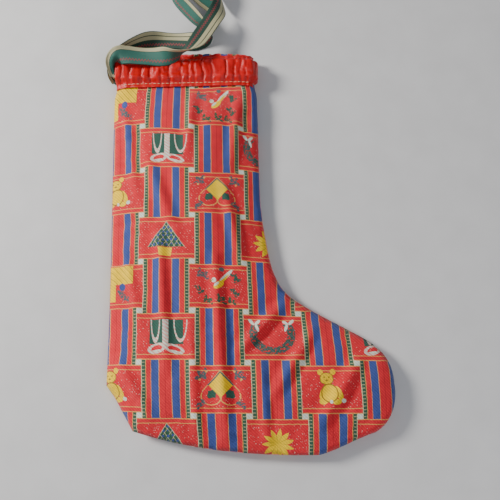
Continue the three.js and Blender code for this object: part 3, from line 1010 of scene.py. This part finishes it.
def sprig(n, place, x, y, size, turn):
    """Three small leaves round a stem."""
    leaves = n.either(*n.discs(
        place,
        (x, y, size, 0.42 * size, turn),
        (x - 0.5 * size, y + 0.5 * size, 0.7 * size, 0.32 * size, turn + 65),
        (x + 0.5 * size, y - 0.4 * size, 0.7 * size, 0.32 * size, turn - 60),
    ))
    return n.both(leaves, n.math("GREATER_THAN", n.mottle, 0.42))


def sprigs(n, place, *rows):
    return [sprig(n, place, *row) for row in rows]


# Each picture is painted over a colour c where the block's mask on is 1. The place p and its parts mx
# and my are in millimetres from the block's middle.
def paint_house(n, c, on, p, mx, my):
    c = n.put(c, YELLOW, on, n.slab(mx, my, -1, 11, 18, 8.5), n.slab(mx, my, -10, -4, 8, 10))
    lines = n.stripes(n.math("ADD", mx, my), 6.0, 0.28)
    c = n.paint(c, TILE, n.both(on, lines, n.slab(mx, my, -1, 11, 18, 8.5)))
    c = n.put(c, BLUE, on, n.disc(p, 5, 0, 3.2, 3.6))
    return n.put(c, SLATE, on, *sprigs(n, p, (4, -7, 4.6, 70), (9, -11, 4.2, 10)))


def paint_bird(n, c, on, p, mx, my):
    c = n.put(c, BONE, on, n.disc(p, 7, 10, 8.4, 1.9, 45))
    c = n.put(c, YELLOW, on, *n.discs(p, (0, 1, 5.6, 2.9, 38), (4, 5.5, 8.5, 1.0, 47)))
    c = n.put(c, BONE, on, *n.discs(p, (-4.4, 5.2, 2.3, 2.3), (-2, 1.5, 3.0, 1.2, 40)))
    c = n.put(c, BROWN, on, *n.discs(p, (-5.2, 5.8, 0.6, 0.6), (-7.2, 4.8, 1.5, 0.6, 15)))
    c = n.put(c, SLATE, on, sprig(n, p, -15, 11, 5.6, 20), n.disc(p, 3, 16, 2.4, 2.2))
    c = n.put(c, LEAF, on, *sprigs(n, p, (16, 8, 4.8, 80), (15, -6, 4.6, 100), (-18, -4, 4.4, 95)))
    return n.put(c, GREEN, on, *sprigs(n, p, (-10, -13.5, 4.6, 10), (2, -13, 4.8, 30), (12, -14, 4.2, 0)))


def paint_gift(n, c, on, p, mx, my):
    c = n.put(c, LEAF, on, n.slab(mx, my, 1, 3.8, 15.6, 11))
    loops = (-9, 16, 4.2, 20, 0.12), (14, 15, 6.0, 19, 0.08)
    bands = n.either(n.slab(mx, my, 0.6, 3.8, 2.6, 11), *n.hoops(p, *loops))
    dashes = n.stripes(n.math("MULTIPLY_ADD", mx, 0.6, my), 3.2, 0.8)
    high = n.math("COMPARE", my, 3.6, 11.2)
    c = n.paint(c, BONE, n.both(on, bands, high))
    c = n.paint(c, PINK, n.both(on, bands, high, dashes))
    bow = n.either(*n.hoops(p, (-7.5, -11, 7, 3.6, 0.24, 14), (8.5, -11.5, 7.6, 3.2, 0.24, -16)))
    ends = (-9, -13.5, 5.5, 1.1, 12), (9, -14, 6.4, 1.2, -14), (0.5, -8.5, 2.6, 2.2)
    c = n.put(c, BONE, on, bow, n.either(*n.discs(p, *ends)))
    return n.paint(c, PINK, n.both(on, bow, dashes))


def paint_wreath(n, c, on, p, mx, my):
    low = n.math("LESS_THAN", my, 12.0)
    ring = n.both(n.hoop(p, -1, 3, 17.5, 15.5, 0.22), low, n.math("GREATER_THAN", n.mottle, 0.41))
    c = n.paint(c, LEAF, n.both(on, ring))
    c = n.paint(c, SLATE, n.both(on, ring, n.math("GREATER_THAN", n.mottle, 0.55)))
    left = (-20, 14, 3.6, 1.5, -50), (-14.5, 13.5, 3.2, 1.5, 40), (-15, 8.5, 1.3, 4.2, 18)
    right = (17, 14.5, 3.4, 1.5, 45), (11.5, 14, 3.0, 1.5, -35), (12, 9, 1.3, 4.0, -20)
    return n.put(c, BONE, on, n.either(*n.discs(p, *left)), n.either(*n.discs(p, *right)))


def paint_heart(n, c, on, p, mx, my):
    spread = n.math("ABSOLUTE", mx)
    slope = n.math("ADD", spread, n.math("MULTIPLY", my, 0.92))
    sides = n.both(n.math("COMPARE", slope, 15.0, 0.55), n.math("GREATER_THAN", my, -1.5))
    tops = n.either(*n.hoops(p, (-8.5, -6, 9, 7.5, 0.06), (8.5, -6, 9, 7.5, 0.06)))
    c = n.put(c, GOLD, on, sides, n.both(tops, n.math("LESS_THAN", my, -3)))
    squares = [n.slab(mx, my, x, -4.2, 3.4, 3.0) for x in (-8, 8.2)]
    c = n.put(c, LEAF, on, *squares, *n.discs(p, (-8, -4, 4.8, 3.0, 40), (8.4, -4, 4.8, 3.0, -40)))
    diamond = n.math("ADD", spread, n.math("ABSOLUTE", n.math("SUBTRACT", my, 3.5)))
    c = n.paint(c, SLATE, n.both(on, n.math("LESS_THAN", diamond, 12.4), n.math("GREATER_THAN", my, 3.5)))
    c = n.put(c, YELLOW, on, n.math("LESS_THAN", diamond, 10.6))
    flipped = n.add("ShaderNodeCombineXYZ", {0: spread, 1: my}).outputs[0]
    c = n.put(c, SLATE, on, *sprigs(n, flipped, (16.5, 12.5, 5.4, 40), (18, -13, 4.6, -30)))
    return n.put(c, GOLD, on, *n.discs(flipped, (18.5, 8.5, 1.1, 1.1), (12.5, 15.5, 1.0, 1.0)))


def paint_tree(n, c, on, p, mx, my):
    height = n.math("ADD", my, 9.2)
    slope = n.math("MULTIPLY_ADD", height, 0.70, n.math("ABSOLUTE", mx))
    inside = n.both(n.math("LESS_THAN", slope, 18.0), n.math("GREATER_THAN", height, 0.0))
    c = n.put(c, GREEN, on, inside)
    nets = [n.stripes(n.math("MULTIPLY_ADD", my, lean, mx), 5.2, 0.26) for lean in (0.7, -0.7)]
    c = n.paint(c, CREAM, n.both(on, inside, n.math("MULTIPLY", n.either(*nets), 0.7)))
    inputs = {"Vector": n.uv, "Scale": 240.0, "Randomness": 0.25}
    dots = n.add("ShaderNodeTexVoronoi", inputs).outputs["Distance"]
    c = n.paint(c, BLUE, n.both(on, inside, n.math("LESS_THAN", dots, 0.30)))
    trim = n.both(n.math("COMPARE", slope, 17.7, 0.35), n.math("GREATER_THAN", height, 0.0))
    c = n.put(c, CREAM, on, n.math("MULTIPLY", trim, 0.75))
    pot = n.math("MULTIPLY_ADD", my, -0.16, n.math("ABSOLUTE", n.math("ADD", mx, 0.8)))
    pot = n.both(n.math("LESS_THAN", pot, 8.2), n.math("COMPARE", my, -14.0, 4.2))
    return n.put(c, YELLOW, on, pot)


def paint_star(n, c, on, p, mx, my):
    x, y = n.math("SUBTRACT", mx, 0.0), n.math("ADD", my, 2.0)
    angle = n.math("ARCTAN2", y, x)
    far = n.math("SQRT", n.math("MULTIPLY_ADD", x, x, n.math("MULTIPLY", y, y)))
    points = n.math("PINGPONG", n.math("MULTIPLY", angle, 11 / math.pi), 1.0)
    reach = n.math("MULTIPLY_ADD", points, 6.6, 8.0)
    c = n.put(c, YELLOW, on, n.math("LESS_THAN", far, reach))
    facet = n.both(n.math("LESS_THAN", points, 0.10), n.math("LESS_THAN", far, 8.0))
    return n.put(c, FACET, on, facet)


def paint_bear(n, c, on, p, mx, my):
    head = n.either(*n.discs(p, (-4, 9.5, 6.0, 5.2), (-9.5, 15, 2.6, 2.6), (2.0, 15.4, 2.6, 2.6)))
    body = n.either(*n.discs(p, (-2, -3, 7.0, 7.8), (6.2, -3.5, 2.8, 7.0, 24), (-8.6, -4, 2.2, 5.0, -14)))
    feet = n.either(*n.discs(p, (-8, -10.5, 3.6, 2.4), (4, -10.5, 4.4, 2.4)))
    rim = n.either(*n.hoops(p, (-2, -3, 7.0, 7.8, 0.07), (-4, 9.5, 6.0, 5.2, 0.06)))
    c = n.put(c, YELLOW, on, head, body, feet)
    face = n.either(*n.discs(p, (-6.2, 10.6, 0.7, 0.7), (-1.8, 10.8, 0.7, 0.7), (-4, 8, 1.1, 0.8)))
    c = n.put(c, BROWN, on, rim, face)
    return n.put(c, BONE, on, *n.discs(p, (10.5, -9.5, 2.2, 2.0), (-1, -10.5, 1.3, 1.6)))


# Which picture stands at 4 * row + column of every four rows and columns
PICTURES = {
    15: paint_house, 13: paint_bird, 0: paint_gift, 2: paint_wreath,
    7: paint_bear, 5: paint_heart, 8: paint_tree, 10: paint_star,
}


LINE_SHAKE = 0.0007
RUNG_PITCH = 0.0031


def printed_cotton():
    """Cotton printed with a basket weave of stripe blocks and small holiday pictures."""
    n = Nodes("printed_cotton", Sheen_Weight=0.12, Sheen_Roughness=0.5, Specular_IOR_Level=0.2)
    uv = n.uv = n.add("ShaderNodeUVMap", {}, uv_map="Cut").outputs[0]
    n.mottle = n.noise(uv, 520, 1)
    wobble = n.add("ShaderNodeTexNoise", {"Vector": uv, "Scale": 260.0, "Detail": 1.0}).outputs["Color"]
    inputs = {0: wobble, 1: (LINE_SHAKE,) * 3, 2: (-LINE_SHAKE / 2,) * 3}
    shaken = n.add("ShaderNodeVectorMath", inputs, operation="MULTIPLY_ADD").outputs[0]
    drawn = n.add("ShaderNodeVectorMath", {0: uv, 1: shaken}, operation="ADD").outputs[0]
    x, y = n.split(drawn)
    x, y = turned(n, x, y)
    u, v, picture, corner, shown, kind = block_masks(n, x, y)
    colour = n.ramp(n.math("MULTIPLY_ADD", u, 1 / 0.9, 0.5), STRIPES, constant=True)
    ladder = n.math("COMPARE", n.math("ABSOLUTE", u), 0.407, 0.026)
    rung = n.math("LESS_THAN", n.math("FRACT", n.math("DIVIDE", y, RUNG_PITCH)), 0.26)
    colour = n.paint(colour, CREAM, n.math("MULTIPLY", n.both(ladder, rung), 0.45))
    high = n.math("ABSOLUTE", v)
    colour = n.paint(colour, RED, picture)
    lines = n.either(n.math("COMPARE", high, 0.441, 0.009), n.math("COMPARE", high, 0.352, 0.008))
    colour = n.paint(colour, GOLD, n.both(picture, n.math("MULTIPLY", lines, 0.85)))
    pin = n.add("ShaderNodeTexVoronoi", {"Vector": uv, "Scale": 480.0, "Randomness": 0.9}).outputs["Distance"]
    dots = n.both(n.math("LESS_THAN", pin, 0.20), n.math("LESS_THAN", high, 0.35), picture)
    colour = n.paint(colour, PINK, n.math("MULTIPLY", dots, 0.8))
    mx = n.math("MULTIPLY", u, BLOCK_WIDE * 1000)
    my = n.math("MULTIPLY", v, -BLOCK_TALL * 1000)
    place = n.add("ShaderNodeCombineXYZ", {0: mx, 1: my}).outputs[0]
    for code, picture_maker in PICTURES.items():
        on = n.math("MULTIPLY", shown, n.math("COMPARE", kind, float(code), 0.5))
        colour = picture_maker(n, colour, on, place, mx, my)
    colour = n.paint(colour, BONE, corner)
    colour, roughness = clothed(n, uv, colour)
    return n.finish(colour, roughness)


def cotton_reverse():
    """The unprinted side of the cotton, where the stripes show through faintly."""
    n = Nodes("cotton_reverse", Sheen_Weight=0.25, Specular_IOR_Level=0.25)
    uv = n.add("ShaderNodeUVMap", {}, uv_map="Cut").outputs[0]
    x, y = turned(n, *n.split(uv))
    u = block_masks(n, x, y)[0]
    through = n.ramp(n.math("MULTIPLY_ADD", u, 1 / 0.9, 0.5), STRIPES, constant=True)
    colour = n.paint(through, (0.62, 0.25, 0.24), 0.72)
    colour, roughness = clothed(n, uv, colour)
    return n.finish(colour, roughness)


SATIN_ACROSS, SATIN_ALONG = 0.00042, 0.00060


def red_satin():
    """Glossy red satin: fine threads across, a sheen, slightly uneven dye, and lighter and darker streaks
    along it that are painted sheen and shade.
    """
    n = Nodes("red_satin", Specular_IOR_Level=0.45, Sheen_Weight=0.03, Sheen_Roughness=0.3,
              Sheen_Tint=(1.0, 0.30, 0.25, 1), Anisotropic=0.5)
    uv = n.add("ShaderNodeUVMap", {}, uv_map="Cut").outputs[0]
    x, y = n.split(uv)
    across = n.wave(y, SATIN_ACROSS)
    along = n.wave(x, SATIN_ALONG)
    drawn = n.add("ShaderNodeMapping", {"Vector": uv, "Scale": (1.0, 0.22, 1.0)}).outputs[0]
    streak_and_painted_sheen = n.noise(drawn, 420, 3)
    patch = n.noise(uv, 60, 2)
    height = n.math("MULTIPLY_ADD", streak_and_painted_sheen, 2.2, n.math("MULTIPLY_ADD", along, 0.25, across))
    # The streaks lighten and darken the red as painted sheen and shade along the threads; the patches are
    # uneven dye.
    tone = n.math("MULTIPLY_ADD", streak_and_painted_sheen, 0.5, n.math("MULTIPLY", patch, 0.5))
    colour = n.ramp(tone, [(0.30, (0.38, 0.0, 0.0)), (0.70, (0.76, 0.001, 0.001))])
    n.bump(height, 0.35, 0.00012)
    roughness = n.math("MULTIPLY_ADD", streak_and_painted_sheen, 0.16, 0.22)
    return n.finish(colour, roughness)


ZIGZAG_PITCH, WEFT_PITCH, WARP_THREADS = 0.0016, 0.00062, 44


def ribbon_cloth(name, stops):
    """One face of the woven ribbon: stripes along it, ribs across it and a zigzag in its green part."""
    n = Nodes(name, Specular_IOR_Level=0.4, Sheen_Weight=0.08, Sheen_Roughness=0.35)
    uv = n.add("ShaderNodeUVMap", {}, uv_map="Weave").outputs[0]
    along, across = n.split(uv)
    colour = n.ramp(across, stops, constant=True)
    zig = n.math("PINGPONG", n.math("DIVIDE", along, ZIGZAG_PITCH), 1.0)
    centre = n.math("MULTIPLY_ADD", zig, 0.13, 0.665)
    stitch = n.math("COMPARE", n.math("SUBTRACT", across, centre), 0.0, 0.030)
    colour = n.paint(colour, (0.36, 0.030, 0.045), stitch)
    ribs = n.wave(along, WEFT_PITCH)
    warp = n.wave(across, 1 / WARP_THREADS)
    fuzz = n.noise(uv, 700, 2)
    shade = n.math("MULTIPLY_ADD", n.noise(uv, 90, 2), 0.30, n.math("MULTIPLY_ADD", ribs, 0.05, 0.80))
    colour = n.shaded(colour, shade)
    n.bump(n.math("MULTIPLY_ADD", warp, 0.5, n.math("ADD", ribs, fuzz)), 0.45, 0.00014)
    roughness = n.math("MULTIPLY_ADD", fuzz, 0.20, 0.42)
    return n.finish(colour, roughness)


def thread_material(name, light, dark):
    """Twisted thread with lighter and darker plies."""
    n = Nodes(name, Sheen_Weight=0.3, Specular_IOR_Level=0.35)
    place = n.add("ShaderNodeTexCoord", {}).outputs["Object"]
    inputs = {"Vector": place, "Scale": 900.0, "Distortion": 2.0}
    ply = n.add("ShaderNodeTexWave", inputs, bands_direction="DIAGONAL")
    colour = n.ramp(ply.outputs["Fac"], [(0.2, dark), (0.8, light)])
    n.bump(ply.outputs["Fac"], 0.5, 0.0001)
    roughness = n.math("MULTIPLY_ADD", n.noise(place, 1200, 2), 0.2, 0.55)
    return n.finish(colour, roughness)


RIBBON_CREAM, RIBBON_GREEN, RIBBON_LINE = (0.46, 0.42, 0.24), (0.008, 0.052, 0.032), (0.006, 0.030, 0.014)
RIBBON_TEAL = (0.022, 0.125, 0.092)
cotton_out, cotton_in = printed_cotton(), cotton_reverse()
satin = red_satin()
ribbon_front = ribbon_cloth("ribbon_front", [
    (0.0, RIBBON_GREEN), (0.035, RIBBON_CREAM), (0.215, RIBBON_LINE), (0.265, RIBBON_CREAM),
    (0.470, RIBBON_LINE), (0.50, RIBBON_GREEN), (0.965, RIBBON_LINE),
])
ribbon_reverse = ribbon_cloth("ribbon_reverse", [
    (0.0, RIBBON_CREAM), (0.205, RIBBON_LINE), (0.23, RIBBON_TEAL), (0.965, RIBBON_LINE),
])
gold_thread = thread_material("gold_thread", (0.86, 0.66, 0.38), (0.55, 0.30, 0.14))
red_thread = thread_material("red_thread", (0.55, 0.05, 0.05), (0.25, 0.01, 0.02))


def dress(piece, *materials):
    for material in materials:
        piece.data.materials.append(material)


for panel in (front_panel, back_panel):
    dress(panel, cotton_out, cotton_in)
dress(casing, satin, satin)
for piece in (front_tail, front_run, ribbon_turn):
    dress(piece, ribbon_reverse, ribbon_front)
for piece in (back_tail, back_run, front_end, back_end, knot):
    dress(piece, ribbon_front, ribbon_reverse)
for name, piece in stitches.items():
    dress(piece, gold_thread if name.endswith("lower") else red_thread)
dress(seam_thread, red_thread)

# ---------------------------------------------------------------- bodies and what each stands for
# Drawing the ribbon gathers the mouth and the upper leg towards the back corner, and leaves the lower leg
# and the foot where they are. Here only the ribbon's two runs and the knot with its ends are put on bodies;
# the rest stays fixed
for piece in (front_panel, back_panel, casing, ribbon_turn, seam_thread, *stitches.values()):
    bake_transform(piece)
for piece in (front_tail, back_tail):
    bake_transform(piece)
for piece in (front_run, back_run):
    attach(piece, "ribbon")
for piece in (knot, front_end, back_end):
    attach(piece, "hanging_loop")

STANDS_FOR = {
    "front_panel": front_panel, "back_panel": back_panel, "satin_casing": casing, "seam_thread": seam_thread,
    **{f"casing_{name}": piece for name, piece in stitches.items()},
    "ribbon_front_run": front_run, "ribbon_back_run": back_run, "ribbon_turn": ribbon_turn,
    "ribbon_front_tail": front_tail, "ribbon_back_tail": back_tail, "ribbon_knot": knot,
    "ribbon_front_end": front_end, "ribbon_back_end": back_end,
}
for node, piece in STANDS_FOR.items():
    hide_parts(node)
    if "panel" in node:
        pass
    elif node == "satin_casing":
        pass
    elif node.startswith("ribbon"):
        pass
    else:
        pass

# ---------------------------------------------------------------- floor and lights
floor = new_object("floor", [(-3, -3, 0), (3, -3, 0), (3, 3, 0), (-3, 3, 0)], [(0, 1, 2, 3)])
paper = Nodes("pale_floor", Specular_IOR_Level=0.2)
place = paper.add("ShaderNodeTexCoord", {}).outputs["Object"]
shade = paper.ramp(paper.noise(place, 30, 3), [(0.3, (0.62, 0.61, 0.60)), (0.7, (0.66, 0.65, 0.64))])
dress(floor, paper.finish(shade))

world = bpy.data.worlds.new("world")
bpy.context.scene.world = world
world.use_nodes = True
world.node_tree.nodes["Background"].inputs["Color"].default_value = (0.86, 0.90, 1.0, 1)
world.node_tree.nodes["Background"].inputs["Strength"].default_value = 0.30


def soft_light(name, place, size, power, colour):
    data = bpy.data.lights.new(name, "AREA")
    data.shape = "DISK"
    data.size = size
    data.energy = power
    data.color = colour
    light = bpy.data.objects.new(name, data)
    light.location = place
    light.rotation_euler = (-Vector(place)).to_track_quat("-Z", "Y").to_euler()
    bpy.context.scene.collection.objects.link(light)


soft_light("window", (-1.15, 0.45, 0.80), 0.40, 30, (1.0, 0.98, 0.95))
soft_light("fill", (0.7, -0.9, 1.3), 1.1, 9, (0.92, 0.95, 1.0))
